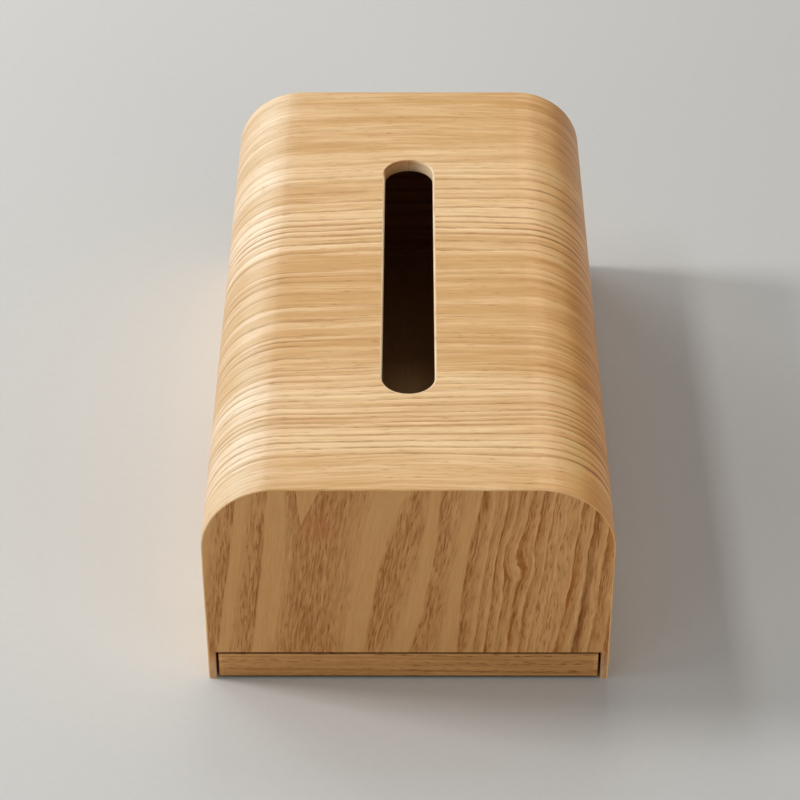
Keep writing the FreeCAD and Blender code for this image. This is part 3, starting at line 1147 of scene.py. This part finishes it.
# in millimetres: Start is one end of the first, Reach its own length, and Step the way to the next
rowBasis = {"Count": 2, "Rows": 1, "Row Step": (0, 0, 0), "Flute": 0.0, "Sides": 16}
pinSizes = {**rowBasis, "Radius": 0.6, "Chamfer": 0.15, "Finish": pinSteel}
magnetSizes = {
    **rowBasis, "Reach": (0, 3, 0), "Step": (80, 0, 0), "Radius": 2.5, "Chamfer": 0.3, "Finish": magnetNickel,
}
pinRows = [
    ("runnerPinSet", "case", "runner_pins", "pin_steel", {
        **pinSizes, "Count": 4, "Rows": 2, "Start": (-67.5, -96.5, 5.4), "Reach": (5.5, 0, 0),
        "Step": (0, 66.8, 0), "Row Step": (129.5, 0, 0),
    }),
    ("rearPinPair", "drawer", "drawer_rear_pins", "pin_steel", {
        **pinSizes, "Start": (-61.6, 118.1, 5.4), "Reach": (11, 0, 0), "Step": (112.2, 0, 0),
    }),
    ("caseMagnetPair", "case", "case_magnets", "magnet_nickel", {**magnetSizes, "Start": (-40, 121.9, 5.4)}),
    ("drawerMagnetPair", "drawer", "drawer_magnets", "magnet_nickel", {
        **magnetSizes, "Start": (-40, 118.6, 5.4),
    }),
    ("flutedDowelPair", "drawer", "drawer_front_dowels", "dowel_beech", {
        **rowBasis, "Start": (-59.5, -122.5, 5.4), "Reach": (0, 14, 0), "Step": (119, 0, 0),
        "Radius": 1.25, "Chamfer": 0.25, "Flute": 0.08, "Finish": dowelBeech,
    }),
]


def makePinRow(name, body, node, slot, sizes):
    values = dict(sizes)
    for label in ("Start", "Reach", "Step", "Row Step"):
        values[label] = [value * mm for value in sizes[label]]
    for label in ("Radius", "Chamfer"):
        values[label] = sizes[label] * mm
    piece = bakeTree(name, pinRowTree, values)
    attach(piece, body)
    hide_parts(node)


for pinRow in pinRows:
    makePinRow(*pinRow)
print("pins, dowels and magnets made")


# ---- finishes for the solids that stay as they are

def dress(node, material):
    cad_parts[node].material_slots[0].material = material


boardLook = dict(plyLook, pale=tint(204, 158, 104), tan=tint(188, 140, 88))
frontDepth = flatDepth("front_panel_core", "y")
backDepth = flatDepth("back_panel_core", "y")
boardDepth = flatDepth("drawer_board", "z")

backAsh = makeFaceAsh("backAsh", faceAshLook, -1.0, 21.0)
lining = makeStraightWood("shellLining", liningLook, "x", "y")
panelLining = makeStraightWood("panelLining", dict(liningLook, seed=23.0), "x", "z")
railBeech = makeStraightWood("railBeech", beechLook, "y", "z")
rearBeech = makeStraightWood("rearBeech", dict(beechLook, seed=29.0), "x", "z")
dress("back_face_veneer", backAsh)
dress("shell_lining_veneer", lining)
dress("front_lining_veneer", panelLining)
dress("back_lining_veneer", panelLining)
for node in ("left_runner", "right_runner", "drawer_left_rail", "drawer_right_rail"):
    dress(node, railBeech)
dress("drawer_rear_rail", rearBeech)
dress("drawer_front", makeStraightWood("drawerAsh", drawerAshLook, "x", "z"))
dress("shell_core", makePlywood("shellPly", plyLook, bendDepth, "y", "x", 5, 31.0))
dress("front_panel_core", makePlywood("frontPly", plyLook, frontDepth, "x", "z", 5, 37.0))
dress("back_panel_core", makePlywood("backPly", plyLook, backDepth, "x", "z", 5, 41.0))
dress("drawer_board", makePlywood("boardPly", boardLook, boardDepth, "y", "x", 3, 43.0))
print("finishes assigned")


# ---- floor, light and camera

studio = {
    "floorColor": tint(210, 209, 205),
    "floorHalf": 3.2,
    "floorRough": 0.9,
    "floorGloss": 0.1,
    "floorMottle": (0.2, 0.8, 0.985, 1.015),
    "worldStrength": 0.2,
    # place, size, power and what each panel looks at
    "panels": {
        "topPanel": ((-1.0, 0.26, 1.52), (0.26, 1.4), 10.0, (-1.0, 0.26, 0.0)),
        "sidePanel": ((-2.08, 0.32, 1.52), (0.5, 0.5), 29.5, (0.0, 0.0, 0.04)),
        "backPanel": ((-1.5, 2.0, 0.9), (1.3, 1.0), 17.5, (0.0, 0.0, 0.05)),
        "rearPanel": ((0.0, 2.02, 1.64), (0.9, 0.8), 3.5, (0.0, 0.0, 0.05)),
        "highPanel": ((0.0, 1.15, 2.1), (0.5, 0.5), 3.6, (0.0, 0.0, 0.05)),
        "leftFill": ((-1.25, -1.4, 0.45), (0.9, 0.6), 5.0, (0.0, 0.0, 0.04)),
        "rightFill": ((1.25, -1.4, 0.45), (0.9, 0.6), 7.5, (0.0, 0.0, 0.04)),
    },
    "lens": 115.415,
    "sensor": 36.0,
    "place": (0.00118, -0.78119, 0.62783),
    # in degrees: how far the camera looks down, turns to the right and rolls to the left
    "angles": (37.652, -0.333, -0.185),
}


def makeFloor(look):
    half = look["floorHalf"]
    work = bmesh.new()
    corners = [(-half, -half, 0), (half, -half, 0), (half, half, 0), (-half, half, 0)]
    work.faces.new([work.verts.new(corner) for corner in corners])
    mesh = bpy.data.meshes.new("studioFloor")
    work.to_mesh(mesh)
    work.free()
    material, shader, place = startMaterial("floorPaper")
    x, y = inMillimetres(place)[:2]
    shade = stretch(noise(x, y, 0.0, (3.0, 3.0), 3.0), *look["floorMottle"])
    setUp(
        shader, Base_Color=shadeColor(look["floorColor"], shade), Roughness=look["floorRough"],
        Specular_IOR_Level=look["floorGloss"],
    )
    mesh.materials.append(material)
    floor = addPiece("studioFloor", mesh)


def lightScene(look):
    for name, (place, size, power, target) in look["panels"].items():
        lamp = bpy.data.lights.new(name, "AREA")
        lamp.shape = "RECTANGLE"
        lamp.size, lamp.size_y = size
        lamp.energy = power
        panel = bpy.data.objects.new(name, lamp)
        panel.location = place
        panel.rotation_euler = (Vector(target) - Vector(place)).to_track_quat("-Z", "Y").to_euler()
        bpy.context.scene.collection.objects.link(panel)
    world = bpy.data.worlds.new("studioWorld")
    world.use_nodes = True
    background = world.node_tree.nodes["Background"]
    setUp(background, Color=(1.0, 1.0, 1.0, 1.0), Strength=look["worldStrength"])
    bpy.context.scene.world = world


def addCamera(look):
    lens = bpy.data.cameras.new("studioCamera")
    lens.lens = look["lens"]
    lens.sensor_width = look["sensor"]
    camera = bpy.data.objects.new("studioCamera", lens)
    pitch, turn, roll = (math.radians(angle) for angle in look["angles"])
    rotation = Matrix.Rotation(-turn, 4, "Z") @ Matrix.Rotation(math.pi / 2 - pitch, 4, "X")
    rotation = rotation @ Matrix.Rotation(roll, 4, "Z")
    camera.matrix_world = Matrix.Translation(look["place"]) @ rotation
    bpy.context.scene.collection.objects.link(camera)
    bpy.context.scene.camera = camera


makeFloor(studio)
lightScene(studio)
addCamera(studio)
bpy.context.scene.view_settings.view_transform = "Standard"
print("studio made")
